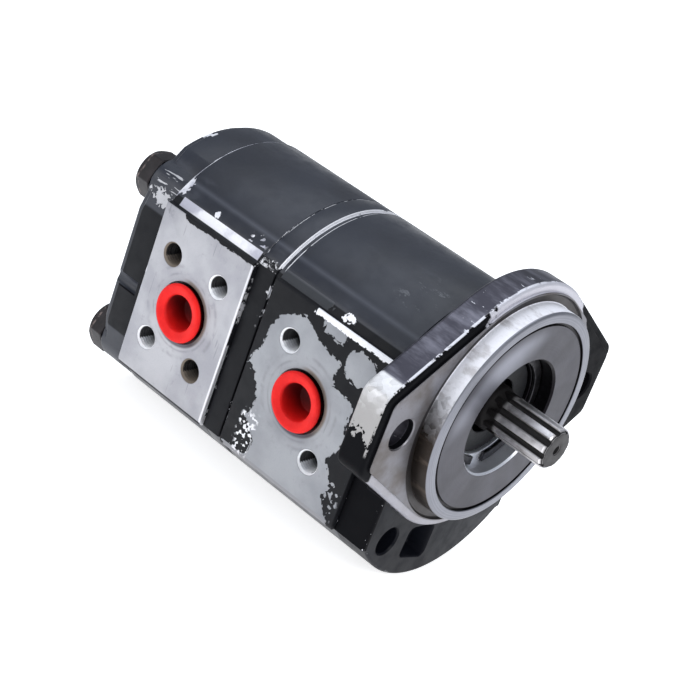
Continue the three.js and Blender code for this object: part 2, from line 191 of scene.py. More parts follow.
def rod(cy, cz, radius, x0, x1, steps=48):
    return prism(circle(cy, cz, radius, steps), x0, x1)


def turned(profile, steps=96, axis="x", at=(0, 0, 0), closed=False):
    """A profile of (along, radius) points turned about a line through at, parallel to axis."""
    bm = bmesh.new()
    rows = []
    for along, radius in profile:
        row = []
        for i in range(steps if radius > 0 else 1):
            u, v = polar(radius, 2 * math.pi * i / steps)
            place = (along, u, v) if axis == "x" else (u, along, v)
            row.append(bm.verts.new([(place[k] + at[k]) * MM for k in range(3)]))
        rows.append(row)
    pairs = list(zip(rows, rows[1:]))
    if closed:
        pairs.append((rows[-1], rows[0]))
    for a, b in pairs:
        for i in range(steps):
            j = (i + 1) % steps
            if len(a) == 1 and len(b) == 1:
                continue
            if len(a) == 1:
                bm.faces.new((a[0], b[j], b[i]))
            elif len(b) == 1:
                bm.faces.new((a[i], a[j], b[0]))
            else:
                bm.faces.new((a[i], a[j], b[j], b[i]))
    return to_mesh(bm, "turned")


def turned_across(profile, x, z, side, start=0.0, steps=96):
    """A profile of (distance from start, radius), turned about a line across the pump."""
    return turned([(side * (start + out), radius) for out, radius in profile], steps, "y", (x, 0, z))


def boolean(mesh, tools, operation):
    for tool in tools:
        base = new_object("base", mesh)
        other = new_object("tool", tool)
        step = base.modifiers.new("step", "BOOLEAN")
        step.solver = "MANIFOLD"
        step.operation = operation
        step.object = other
        bpy.context.view_layer.update()
        depsgraph = bpy.context.evaluated_depsgraph_get()
        made = bpy.data.meshes.new_from_object(base.evaluated_get(depsgraph))
        for thing in (base, other):
            old = thing.data
            bpy.data.objects.remove(thing)
            bpy.data.meshes.remove(old)
        mesh = made
    return mesh


def union(first, *rest):
    return boolean(first, rest, "UNION")


def cut(first, tools):
    return boolean(first, tools, "DIFFERENCE")


def common(first, *rest):
    return boolean(first, rest, "INTERSECT")


# ---------- outlines ----------

def mirror_y(points):
    return [(-y, z) for y, z in reversed(points)]


def mirror_z(points):
    return [(y, 2 * MIDDLE_Z - z) for y, z in reversed(points)]


def domed(shoulder, radius, dome_y, steps=72):
    rise = math.acos(dome_y / radius)

    def half(centre_z):
        return shoulder + arc(0, centre_z, radius, rise, math.pi - rise, steps) + mirror_y(shoulder)

    return half(DOME_TOP_Z) + mirror_z(half(2 * MIDDLE_Z - DOME_BOTTOM_Z))


def housing(inset=0.0):
    half = SIDE_HALF - inset
    return domed([(half, PORT_FACE_TOP - 0.4)], DOME_RADIUS - inset, half - SHOULDER_BEVEL)


def flange_outline(inset, steps=72):
    radius = FLANGE_RADIUS - inset
    corner = EAR_CORNER - inset * 0.5
    corner_y = EAR_HALF - inset - corner
    corner_z = (radius - corner - corner_y * math.cos(EAR_SLOPE)) / math.sin(EAR_SLOPE)
    quarter = arc(corner_y, corner_z, corner, 0, EAR_SLOPE, 10)
    upper = quarter + arc(0, 0, radius, EAR_SLOPE, math.pi - EAR_SLOPE, steps)
    upper += [(-y, z) for y, z in reversed(quarter)]
    return upper + [(-y, -z) for y, z in upper]


def eight(radius, steps=64):
    cross = math.asin(GEAR_CENTRES / 2 / radius)
    upper = arc(0, 0, radius, -cross, math.pi + cross, steps)
    lower = arc(0, -GEAR_CENTRES, radius, math.pi - cross, 2 * math.pi + cross, steps)
    return upper + lower[1:-1]


def stadium(radius, steps=48):
    return (arc(0, 0, radius, 0, math.pi, steps)
            + arc(0, -GEAR_CENTRES, radius, math.pi, 2 * math.pi, steps))


def edged(outline, x0, x1, back, front, steps=4):
    """A prism of outline(inset) whose two ends are rounded by the radii back and front."""
    rings = []
    for i in range(steps + 1):
        turn = math.pi / 2 * i / steps
        rings.append((x0 + back * (1 - math.sin(turn)), outline(back * (1 - math.cos(turn)))))
    rings.reverse()
    for i in range(steps + 1):
        turn = math.pi / 2 * i / steps
        rings.append((x1 - front * (1 - math.sin(turn)), outline(front * (1 - math.cos(turn)))))
    return loft(rings)


# ---------- castings ----------

def joint_holes(x0, x1):
    return [rod(y, z, BOLT_HOLE, x0, x1, 32) for y, z in BOLT_PLACES]


def dowel_holes(x):
    return [rod(y, z, DOWEL_RADIUS, x - DOWEL_DEPTH, x + DOWEL_DEPTH, 24) for y, z in DOWEL_PLACES]


def joint_groove(x, direction):
    ends = sorted((x - direction * 0.5, x + direction * 1.6))
    return cut(prism(stadium(GROOVE_OUTER), *ends), [prism(stadium(GROOVE_INNER), ends[0] - 1, ends[1] + 1)])


def screw_hole(x, z, side):
    """A tapped hole in a port face, with a chamfered mouth and its thread as rings."""
    profile = [(3.0, 0.0), (3.0, SCREW_MOUTH), (0.3, SCREW_MOUTH), (-0.7, 4.1)]
    depth = -1.0
    while depth > -11.5:
        profile += [(depth, 3.85), (depth - 0.62, 4.3)]
        depth -= SCREW_PITCH
    profile += [(-12.2, 3.85), (-13.0, 3.8), (-14.2, 0.0)]
    return turned_across(profile, x, z, side, PORT_FACE, 40)


def port_bore(x, side):
    profile = [(5, 0), (5, PORT_RADIUS), (PORT_FACE - 2.0, PORT_RADIUS), (PORT_FACE - 1.5, PORT_SEAT),
               (PORT_FACE - 0.3, PORT_SEAT), (PORT_FACE + 0.4, PORT_MOUTH), (PORT_FACE + 3, PORT_MOUTH),
               (PORT_FACE + 3, 0)]
    return turned_across(profile, x, MIDDLE_Z, side)


def port_tools(x, side, diagonal_only=False):
    tools = [port_bore(x, side)]
    for dx in (-1, 1):
        for dz in (-1, 1):
            if not diagonal_only or dx * dz < 0:
                tools.append(screw_hole(x + dx * PORT_STEP_X / 2, MIDDLE_Z + dz * PORT_STEP_Z / 2, side))
    return tools


def pad_outline(inset):
    half = PORT_FACE - inset
    top = PORT_FACE_TOP - inset
    low = PORT_FACE_BOTTOM + inset
    corner = 0.5
    right = [(half - 1.4, low), (half - 0.5, low + 1.0), (half, low + 2.4), (half, top - corner),
             (half - 0.15, top - 0.15), (half - corner, top)]
    return right + mirror_y(right)


def build_body(x0, x1, port_x, diagonal_only):
    start, end = x0 + SEAM / 2, x1 - SEAM / 2
    blank = union(edged(housing, start, end, 0.35, 0.35, 3), edged(pad_outline, start, end, 0.3, 0.3, 3))
    tools = [prism(eight(CHAMBER_RADIUS), start - 1, end + 1)]
    tools += port_tools(port_x, -1, diagonal_only) + port_tools(port_x, 1)
    tools += joint_holes(start - 1, end + 1) + dowel_holes(x0) + dowel_holes(x1)
    tools += [joint_groove(start, 1), joint_groove(end, -1)]
    return cut(blank, tools)


def build_center_plate():
    start, end = PLATE_BACK + SEAM / 2, PLATE_FRONT - SEAM / 2
    lip = edged(lambda inset: housing(PLATE_LIP_INSET + inset), start + 1, end, 0.2, 0.3, 3)
    blank = union(edged(housing, start, end - PLATE_LIP, 0.35, 0.5, 3), lip)
    tools = [rod(0, 0, JOURNAL_RADIUS + 1, start - 1, end + 1)]
    tools += joint_holes(start - 1, end + 1) + dowel_holes(PLATE_BACK) + dowel_holes(PLATE_FRONT)
    return cut(blank, tools)


def pocket_outline(shrink):
    corners = [(-3, -53, 0), (-13, -52, 1), (-13.5, -59.5, 2), (-3, -62, 3)]
    points = []
    for y, z, turn in corners:
        points += arc(y, z, 2.3 - shrink, turn * math.pi / 2, (turn + 1) * math.pi / 2, 6)
    return points


def cast_fillet(x0, x1, reach, steps=6):
    """The fillet that joins the cover's side walls and domes to the back of its flange."""
    rings = [(x0 - 0.5, housing(0.6))]
    for i in range(steps + 1):
        turn = math.pi / 2 * i / steps
        rings.append((x0 + reach * math.sin(turn), housing(-reach * (1 - math.cos(turn)))))
    rings.append((x1, housing(-reach)))
    return loft(rings)


def build_front_cover():
    back = FRONT_JOINT + SEAM / 2
    ring_inner = FACE_GROOVE + 0.5
    floor = PILOT_FACE - 1.2
    pilot = turned([
        (FLANGE_BACK + 1, 0), (FLANGE_BACK + 1, PILOT_RADIUS - 1), (-1.5, PILOT_RADIUS - 1),
        (-1.5, PILOT_RADIUS), (PILOT_FACE - 0.9, PILOT_RADIUS), (PILOT_FACE - 0.45, PILOT_RADIUS - 0.2),
        (PILOT_FACE - 0.1, PILOT_RADIUS - 0.7), (PILOT_FACE, PILOT_RADIUS - 1.1),
        (PILOT_FACE, ring_inner + 0.2), (PILOT_FACE - 0.2, ring_inner), (floor, ring_inner),
        (floor, ring_inner - 1), (PILOT_FACE - 0.6, ring_inner - 1), (PILOT_FACE - 0.4, ring_inner - 1.2),
        (PILOT_FACE - 0.4, 0)], 192)
    casting = union(
        edged(housing, back, LOWER_FACE, 0.35, 1.2, 5),
        edged(flange_outline, FLANGE_BACK, FLANGE_BORDER, 1.6, 1.3, 6),
        edged(lambda inset: flange_outline(PAD_INSET + inset), FLANGE_BACK + 2, 0, 0.2, 0.35, 3),
        common(cast_fillet(FLANGE_BACK - 3.5, FLANGE_BACK + 1.5, 3.5),
               prism(flange_outline(1.4), FLANGE_BACK - 5, FLANGE_BACK + 1.4)))
    relief = turned([(-0.9, 0), (-0.9, RELIEF_RADIUS - 0.4), (-0.5, RELIEF_RADIUS),
                     (0.1, RELIEF_RADIUS + 0.3), (9, RELIEF_RADIUS + 0.3), (9, 0)], 192)
    bore = turned([
        (-9.5, 0), (-9.5, SEAL_SEAT), (SEAL_BORE_FLOOR - 0.2, SEAL_SEAT), (SEAL_BORE_FLOOR, SEAL_SEAT + 0.2),
        (SEAL_BORE_FLOOR, SEAL_BORE - 0.3), (SEAL_BORE_FLOOR + 0.3, SEAL_BORE),
        (PILOT_FACE - 1.2, SEAL_BORE), (PILOT_FACE - 0.4, SEAL_BORE + 0.7), (9, SEAL_BORE + 0.7),
        (9, 0)], 144)
    tools = [bore, rod(0, 0, JOURNAL_RADIUS + 1.5, back - 1, 0, 64), rod(0, 0, 14, back - 1, back + 3, 64),
             rod(0, -GEAR_CENTRES, JOURNAL_RADIUS + 1, back - 1, back + 3, 64)]
    for side in (-1, 1):
        profile = [(-20, 0), (-20, EAR_HOLE + 1.2), (FLANGE_BACK, EAR_HOLE + 1.2),
                   (FLANGE_BACK + 0.8, EAR_HOLE), (-0.6, EAR_HOLE), (0, EAR_HOLE + 0.6), (5, EAR_HOLE + 0.6),
                   (5, 0)]
        tools.append(turned(profile, 64, at=(0, side * EAR_SPACING / 2, 0)))
    for y, z in BOLT_PLACES:
        through = y < 0 and z < MIDDLE_Z
        profile = [(back - 1, 0), (back - 1, BOLT_HOLE), (LOWER_FACE - 2, BOLT_HOLE)]
        if through:
            mouth = [(LOWER_FACE - 0.7, BOLT_HOLE), (LOWER_FACE, BOLT_HOLE + 0.5), (0, BOLT_HOLE + 0.9)]
            profile = profile[:2] + mouth
        tools.append(turned(profile + [(profile[-1][0], 0)], 48, at=(0, y, z)))
    tools.append(loft([(LOWER_FACE - 8, pocket_outline(1.2)), (LOWER_FACE - 7.2, pocket_outline(0.6)),
                       (LOWER_FACE - 0.8, pocket_outline(0)), (LOWER_FACE - 0.2, pocket_outline(-0.3)),
                       (LOWER_FACE + 1, pocket_outline(-1.3))]))
    tools += dowel_holes(FRONT_JOINT)
    return cut(union(cut(casting, [relief]), pilot), tools)


def rear_cover_outline(shrink):
    shoulder = [(39.5 - shrink, 3.0)] + arc(BOLT_Y, MIDDLE_Z + BOLT_Z, LUG_RADIUS - shrink, 0, 1.3, 14)
    return domed(shoulder, DOME_RADIUS - 0.6 - shrink, 26 - shrink, 60)


def build_rear_cover():
    front = REAR_JOINT - SEAM / 2
    lugs = []
    for y, z in BOLT_PLACES:
        profile = [(COVER_EDGE + 1, 0), (COVER_EDGE + 1, LUG_RADIUS), (COVER_BACK + 0.8, LUG_RADIUS),
                   (COVER_BACK + 0.25, LUG_RADIUS - 0.3), (COVER_BACK, LUG_RADIUS - 0.9), (COVER_BACK, 0)]
        lugs.append(turned(profile, 64, at=(0, y, z)))
    blank = union(
        edged(rear_cover_outline, COVER_EDGE, front, 0.9, 0.35, 4),
        edged(lambda inset: rear_cover_outline(1.2 + inset), COVER_BACK, COVER_EDGE + 1, 1.1, 0.2, 5), *lugs)
    tools = [rod(0, z, COUPLING_RADIUS, front - 3.5, front + 1) for z in (0, -GEAR_CENTRES)]
    tools.append(rod(*COVER_NOTCH, 2.8, COVER_BACK - 1, REAR_JOINT - 4, 40))
    tools += joint_holes(COVER_BACK - 1, front + 1) + dowel_holes(REAR_JOINT)
    return cut(blank, tools)


# ---------- shaft, bolts, plugs and seal ----------

def involute(angle):
    return math.tan(angle) - angle


def gear_outline(tooth_angle):
    pitch_radius = GEAR_CENTRES / 2
    base_radius = pitch_radius * math.cos(PRESSURE_ANGLE)
    pitch = 2 * math.pi / TEETH
    half_at_base = pitch / 4 - BACKLASH / 4 / pitch_radius + involute(PRESSURE_ANGLE)
    flank = [(ROOT_RADIUS, half_at_base + 0.02)]
    for i in range(9):
        radius = base_radius + (TIP_RADIUS - base_radius) * i / 8
        flank.append((radius, half_at_base - involute(math.acos(base_radius / radius))))
    points = []
    for tooth in range(TEETH):
        centre = tooth_angle + tooth * pitch
        points += [polar(radius, centre - half) for radius, half in flank]
        points += [polar(radius, centre + half) for radius, half in reversed(flank)]
    return points


def spline_outline(count, outer, inner):
    """Splines with rounded roots and flanks that lean in towards their tips."""
    pitch = 2 * math.pi / count
    points = []
    for i in range(count):
        centre = math.pi / 2 + i * pitch
        shape = [(inner, 0.5), (inner, 0.42), (inner + 0.06, 0.36), (inner + 0.22, 0.325),
                 (inner + 0.5, 0.305), (outer - 0.35, 0.235), (outer - 0.1, 0.215), (outer, 0.185),
                 (outer, 0.1), (outer, 0.0)]
        points += [polar(radius, centre - pitch * half) for radius, half in shape]
        points += [polar(radius, centre + pitch * half) for radius, half in reversed(shape[1:-1])]
    return points


def journal(x0, x1):
    profile = [(x0, 0), (x0, JOURNAL_RADIUS - 0.8), (x0 + 0.8, JOURNAL_RADIUS), (x1 - 0.8, JOURNAL_RADIUS),
               (x1, JOURNAL_RADIUS - 0.8), (x1, 0)]
    return turned(profile)


def build_drive_shaft():
    splined = prism(spline_outline(SPLINES, SPLINE_TIP, SPLINE_ROOT), 0, SHAFT_END)
    crown = turned([(-1, 0), (-1, 9), (SHAFT_END - 1.9, 9), (SHAFT_END - 1.3, 7.6), (SHAFT_END - 0.5, 7.0),
                    (SHAFT_END - 0.1, 6.6), (SHAFT_END, 6.2), (SHAFT_END, 2.0), (SHAFT_END - 1.9, 0.9),
                    (SHAFT_END - 3.0, 0.8), (SHAFT_END - 3.2, 0)], 108)
    neck = turned([(-14, 0), (-14, 8.6), (-0.5, 8.6), (0.2, 8.3), (1.0, 7.4), (2.2, 6.6),
                   (3.0, SPLINE_ROOT), (3.0, 0)], 108)
    gear = prism(gear_outline(math.pi / 2), FRONT_PORT_X - GEAR_HALF, FRONT_PORT_X + GEAR_HALF)
    return union(common(splined, crown), neck, journal(PLATE_FRONT + 0.8, -12), gear,
                 prism(spline_outline(8, 6.6, 5.4), PLATE_FRONT - 4.4, PLATE_FRONT + 2))


def hexagon_outline(shrink=0.0):
    """A bolt head's hexagon with slightly rounded corners."""
    corner = 0.9
    reach = (BOLT_FLATS / 2 - shrink - corner) / math.cos(math.pi / 6)
    points = []
    for i in range(6):
        angle = math.pi / 3 * i
        cy, cz = polar(reach, angle)
        points += arc(cy, cz, corner, angle - math.pi / 6, angle + math.pi / 6, 6)
    return points


def build_bolt(y, z):
    top = COVER_BACK - BOLT_HEAD
    head = loft([(top, hexagon_outline()), (COVER_BACK - 0.5, hexagon_outline()),
                 (COVER_BACK - 0.1, hexagon_outline(0.35))])
    crown = turned([(COVER_BACK, 0), (COVER_BACK, 14), (top + 2.8, 14), (top + 2.2, 9.9), (top + 1.2, 9.2),
                    (top + 0.5, 8.6), (top + 0.1, 7.9), (top, 7.3), (top + 0.3, 6.9), (top + 0.4, 6.5),
                    (top + 0.4, 0)])
    shank = turned([(COVER_BACK - 1, 0), (COVER_BACK - 1, BOLT_RADIUS), (BOLT_TIP - 1, BOLT_RADIUS),
                    (BOLT_TIP, BOLT_RADIUS - 1), (BOLT_TIP, 0)], 48)
    mesh = union(common(head, crown), shank)
    mesh.transform(Matrix.Translation((0, y * MM, z * MM)))
    return mesh


def build_plug(x, side):
    profile = [(-9.0, 0), (-9.0, 7.0), (-8.6, 7.6), (-0.5, 9.1), (-0.1, 9.4), (0.35, 9.9), (0.5, 10.2),
               (0.9, 10.7), (1.5, 10.8), (2.0, 10.6), (2.4, 10.1), (2.5, 9.5), (2.4, 8.9), (1.9, 7.5),
               (1.7, 7.0), (1.2, 6.6), (0.4, 6.4), (-6.6, 5.6), (-7.2, 5.3), (-7.4, 4.8), (-7.4, 0)]
    return turned_across(profile, x, MIDDLE_Z, side, PORT_FACE, 128)


def build_shaft_seal():
    profile = [(-2.2, 17.9), (-2.4, 18.2), (-9.0, 18.2), (-9.2, 18.0), (-9.2, 11.0), (-7.6, 9.1), (-7.2, 8.9),
               (-6.8, 9.1), (-6.4, 9.8), (-6.2, 12.0), (-6.2, 15.0), (-5.8, 15.5), (-4.0, 15.5), (-3.6, 15.1),
               (-3.6, 11.2), (-3.3, 10.7), (-2.5, 10.5), (-2.2, 10.8)]
    return turned(profile, 128, closed=True)


def build_retaining_ring():
    ring = turned([(-0.6, 18.9), (0.35, 18.9), (0.5, 19.05), (0.5, 22.0), (0.35, 22.2), (-0.6, 22.2),
                   (-0.7, 22.05), (-0.7, 19.05)], 160, closed=True)
    gap = loft([(x, [(-3.5, -30), (3.5, -30), (3.5, -15), (-3.5, -15)]) for x in (-3, 3)])
    return cut(ring, [gap])


# ---------- materials ----------

def linear(code):
    """An sRGB hex colour as linear RGBA."""
    parts = [int(code[i:i + 2], 16) / 255 for i in (1, 3, 5)]
    return [p / 12.92 if p <= 0.04045 else ((p + 0.055) / 1.055) ** 2.4 for p in parts] + [1.0]


class Field:
    """One number that varies over a surface, as the output of a node."""

    def __init__(self, look, socket):
        self.look = look
        self.socket = socket

    def math(self, operation, *others):
        return self.look.math(operation, self, *others)

    def __add__(self, other):
        return self.math("ADD", other)

    def __sub__(self, other):
        return self.math("SUBTRACT", other)

    def __rsub__(self, other):
        return self.look.math("SUBTRACT", other, self)

    def __rtruediv__(self, other):
        return self.look.math("DIVIDE", other, self)

    def __mul__(self, other):
        return self.math("MULTIPLY", other)

    __radd__ = __add__
    __rmul__ = __mul__

    def abs(self):
        return self.math("ABSOLUTE")

    def least(self, other):
        return self.math("MINIMUM", other)

    def most(self, *others):
        result = self
        for other in others:
            result = result.math("MAXIMUM", other)
        return result

    def over(self, edge, soft):
        """0 below edge, rising smoothly to 1 over the width soft."""
        inputs = {"Value": self, "From Min": edge, "From Max": edge + soft}
        node = self.look.node("ShaderNodeMapRange", inputs, interpolation_type="SMOOTHSTEP")
        return Field(self.look, node.outputs["Result"])

    def under(self, edge, soft):
        return 1.0 - self.over(edge, soft)

    def within(self, centre, half, soft):
        return (self - centre).abs().under(half - soft, 2 * soft)


class Look:
    """A material made of nodes, with its surface position in millimetres as x, y and z."""

    def __init__(self, name):
        self.material = bpy.data.materials.new(name)
        self.material.use_nodes = True
        self.tree = self.material.node_tree
        self.tree.nodes.clear()
        self.surface = self.node("ShaderNodeBsdfPrincipled")
        self.node("ShaderNodeOutputMaterial", {"Surface": Field(self, self.surface.outputs["BSDF"])})
        self.position = Field(self, self.node("ShaderNodeTexCoord").outputs["Object"])
        split = self.node("ShaderNodeSeparateXYZ", {"Vector": self.position})
        self.x, self.y, self.z = [Field(self, split.outputs[i]) * (1 / MM) for i in range(3)]

    def node(self, kind, inputs=None, **settings):
        node = self.tree.nodes.new(kind)
        for key, value in settings.items():
            setattr(node, key, value)
        for key, value in (inputs or {}).items():
            self.feed(node.inputs[key], value)
        return node

    def feed(self, socket, value):
        """Connect a field to a socket, or set it to a number, a vector or a hex colour."""
        if isinstance(value, Field):
            self.tree.links.new(value.socket, socket)
        else:
            socket.default_value = linear(value) if isinstance(value, str) else value

    def math(self, operation, *values):
        node = self.node("ShaderNodeMath", dict(enumerate(values)), operation=operation)
        return Field(self, node.outputs[0])

    def off(self, x):
        """The distance from the plane at x."""
        return (self.x - x).abs()

    def radius(self, a, b):
        return (a * a + b * b).math("SQRT")

    def texture(self, kind, size, shift, stretch=(1, 1, 1), source=None, **inputs):
        """A texture whose features are about size millimetres wide."""
        place = {"Vector": source or self.position, "Scale": stretch, "Location": shift}
        mapping = self.node("ShaderNodeMapping", place)
        placed = Field(self, mapping.outputs[0])
        return self.node(kind, {"Vector": placed, "Scale": 1 / (size * MM), **inputs})

    def noise(self, size, detail=4.0, rough=0.6, stretch=(1, 1, 1), shift=0.0, at=None):
        """Noise from 0 to 1, over the surface or over the three fields in at."""
        source = None
        if at is not None:
            combine = self.node("ShaderNodeCombineXYZ", {i: value * MM for i, value in enumerate(at)})
            source = Field(self, combine.outputs[0])
        place = (shift, -1.7 * shift, 0.6 * shift)
        texture = self.texture("ShaderNodeTexNoise", size, place, stretch, source,
                               Detail=detail, Roughness=rough)
        return Field(self, texture.outputs["Fac"])

    def cells(self, size, shift):
        """A random value for each of many small angular cells."""
        texture = self.texture("ShaderNodeTexVoronoi", size, (shift, 1.3 * shift, -0.7 * shift))
        split = self.node("ShaderNodeSeparateColor", {"Color": Field(self, texture.outputs["Color"])})
        return Field(self, split.outputs[0])

    def curve(self, value, points):
        """A line through (value, result) points, both in millimetres."""
        low, high = points[0][0], points[-1][0]
        least = min(result for _, result in points)
        span = max(result for _, result in points) - least
        node = self.node("ShaderNodeFloatCurve")
        line = node.mapping.curves[0]
        places = [((place - low) / (high - low), (result - least) / span) for place, result in points]
        while len(line.points) < len(places):
            line.points.new(0.5, 0.5)
        for point, place in zip(line.points, places):
            point.location = place
            point.handle_type = "VECTOR"
        node.mapping.update()
        self.feed(node.inputs["Value"], (value - low) * (1 / (high - low)))
        return Field(self, node.outputs[0]) * span + least

    def mix(self, share, first, second):
        node = self.node("ShaderNodeMix", {0: share, 6: first, 7: second}, data_type="RGBA")
        return Field(self, node.outputs[2])

    def blend(self, share, first, second):
        return share * second + (1.0 - share) * first

    def bump(self, height):
        """Relief in millimetres."""
        node = self.node("ShaderNodeBump", {"Distance": MM, "Height": height})
        self.set(Normal=Field(self, node.outputs[0]))

    def layers(self, colour, *coats):
        """A colour with each (share, coat) laid over it in turn."""
        for share, coat in coats:
            colour = self.mix(share, colour, coat)
        return colour

    def set(self, **values):
        for key, value in values.items():
            self.feed(self.surface.inputs[key.replace("_", " ")], value)


def ragged(look, amount, shift=0.0, size=3.0):
    """An uneven, flaky shift in millimetres for the edge of a paint patch."""
    coarse = look.noise(size * 3.0, 2.0, 0.5, shift=shift)
    fine = look.noise(size * 0.6, 4.0, 0.7, shift=shift + 0.013)
    flake = look.cells(size * 0.75, shift + 0.2)
    return ((coarse - 0.5) * 1.2 + (fine - 0.5) * 0.9 + (flake - 0.5) * 0.9) * amount


def enamel(look, bare, metal, metallic, metal_rough=0.45, paint="#20242f", paint_low="#191c26", gloss=0.34,
           shine=0.5, dull=0.0):
    """Sprayed enamel over cast metal: bare is 1 where the paint is gone, dull where it is matt black. The
    flat side walls are painted darker as shade.
    """
    # side: the flat side walls, painted darker and given less shine as painted shade, joined with the matt
    # black patches that dull marks.
    side = (look.y.abs().over(38.6, 0.3) * look.z.under(17, 1)).most(dull)
    wide = look.noise(24.0, 3.0, 0.5, shift=0.11)
    rubbed = look.noise(11.0, 5.0, 0.65, stretch=(0.4, 1, 1), shift=0.21).over(0.55, 0.25)
    rubbed = rubbed * (1.0 - side * 0.6)
    # A painted highlight: a lighter line along the ridge of the domes.
    ridge_highlight = look.z.within(21.7, 0.4, 0.9) * look.x.under(FRONT_JOINT - 0.5, 0.5)
    ridge_highlight = ridge_highlight * look.x.over(REAR_JOINT, 1.0)
    coat = look.layers(paint, (wide.over(0.35, 0.35), paint_low), (rubbed * (0.6 * shine), "#565963"),
                       (ridge_highlight * wide * 0.6, "#6d707b"), (side * 0.85, "#0e0e10"))
    grain = look.noise(0.8, 3.0, 0.6, shift=0.5)
    metal = look.mix((grain - 0.5).abs() * 0.35, metal, "#5d5c62")
    skin = look.noise(2.2, 2.0, 0.5, shift=0.7)
    cast = look.noise(9.0, 3.0, 0.5, shift=0.9)
    patina = look.noise(6.0, shift=1.3)
    paint_rough = patina.over(0.35, 0.4) * 0.14 + rubbed * 0.2 + side * 0.15 + gloss
    look.set(Base_Color=look.mix(bare, coat, metal), Metallic=bare * metallic,
             Roughness=look.blend(bare, paint_rough, patina * 0.2 + (metal_rough - 0.1)),
             Specular_IOR_Level=(1.0 - side * 0.65) * shine)
    look.bump((1.0 - bare) * (skin * 0.008 + cast * 0.06 + 0.06) + bare * (grain * 0.008 + cast * 0.02))
    return look.material


def ground_face(look, port_x, tint, dark):
    """The machined metal of a port face, with stains, fine scratches and rings round its port, a painted
    highlight along the plate's back edge and painted shade in the mouth below the plug.
    """
    stain = look.noise(17.0, 3.0, 0.5, shift=0.3).over(0.35, 0.35)
    spots = look.noise(3.2, shift=0.8).over(0.6, 0.14)
    scratch = look.noise(1.4, 2.0, 0.5, stretch=(1, 1, 0.07), shift=0.57).over(0.71, 0.03)
    reach = look.radius(look.x - port_x, look.z - MIDDLE_Z)
    broken = look.noise(8.0, 3.0, 0.55, shift=0.77).over(0.42, 0.18)
    ring = reach.within(16.8, 0.5, 0.8).most(reach.within(14.0, 0.3, 0.5)) * broken
    # A painted highlight: the face lightened near white along the centre plate's back edge.
    edge = look.off(PLATE_BACK).under(0.6, 0.5) * look.z.under(13, 1)
    across = look.x - port_x
    up = look.z - MIDDLE_Z
    # The port's mouth: a rust-brown stain on its upper right, and painted shade darkening it below the plug.
    mouth = reach.within(PORT_MOUTH, 0.8, 0.5)
    return look.layers(tint, (stain, dark), (spots * 0.35, "#7f8085"), (scratch * 0.45, "#77777c"),
                       (ring * 0.5, "#737278"), (edge * 0.7, "#f2f2f6"),
                       (mouth * (across + up * 0.4).over(0, 6) * 0.75, "#6a5c4c"),
                       (mouth * up.under(-9, 6) * 0.8, "#3f3a44"))


def hole_rims(look, port_x, screws, metal):
    """The bare metal in a face's port and screw holes, with painted shade inside them: its extent, its colour
    and the screw holes alone.
    """
    outer = look.y.abs()
    port = look.radius(look.x - port_x, look.z - MIDDLE_Z).under(PORT_MOUTH + 0.1, 0.15)
    # Painted shade: near black deep in the port bore, and in the upper and deeper parts of each screw hole.
    shade = port * outer.under(PORT_FACE - 1.9, 0.7)
    holes = clean = port * 0.0
    for dx, dz, is_clean in screws:
        across = look.x - (port_x + dx * PORT_STEP_X / 2)
        up = look.z - (MIDDLE_Z + dz * PORT_STEP_Z / 2)
        hole = look.radius(across, up).under(SCREW_MOUTH + 0.1, 0.1)
        holes = holes.most(hole)
        clean = clean.most(hole * is_clean)
        inside = hole * outer.under(PORT_FACE - 0.9, 0.2)
        shade = shade.most(inside * (up + across * 0.1).over(-2.9, 0.5))
    below = outer.under(PORT_FACE - 0.2, 0.1)
    shade = shade.most(holes * outer.under(PORT_FACE - 10.0, 4.0))
    mouths = holes * below
    metal = look.layers(metal, (mouths, look.mix(clean, "#7d7368", "#f8f9fc")), (shade * 0.97, "#080709"))
    return port.most(holes) * outer.over(26, 0.5), metal, mouths


def on_port_face(outer):
    return outer.over(PORT_FACE - 0.35, 0.1)


def seam_chips(look, edge, shift, dome_share=0.42, side_share=0.62):
    """A thin line of bare metal along an edge, nearly unbroken on the dome and rare on the sides."""
    broken = look.noise(7.0, shift=shift) + look.z.over(14.5, 2.5) * (side_share - dome_share)
    return edge.under(0.42, 0.08) * broken.over(side_share - 0.02, 0.04)


def edge_chips(look, distance, reach, shift, depth=0.0):
    """Ragged chips whose number falls off with the distance in millimetres from an edge."""
    flake = look.noise(2.2, 5.0, 0.7, shift=shift)
    gate = look.noise(11.0, 2.0, 0.5, shift=shift + 0.31)
    return (flake + gate * 0.7 - distance * (1 / reach) * 0.5 + depth).over(0.86, 0.04)


def small_chips(look, shift, share=0.8):
    """A few scattered chips of uneven shape."""
    gate = look.noise(9.0, 2.0, 0.5, shift=shift)
    return (look.noise(1.7, 4.0, 0.65, shift=shift + 0.37) + gate * 0.6).over(share + 0.3, 0.03)


def shoulder_band(look, low=14.1, high=17.15):
    """The bevel that runs along the top of a port face."""
    outer = look.y.abs()
    band = look.z.over(low - 0.1, 0.2) * look.z.under(high, 0.15)
    return band * (outer + look.z * 0.54).over(47.5, 0.2) * outer.under(40.9, 0.1)


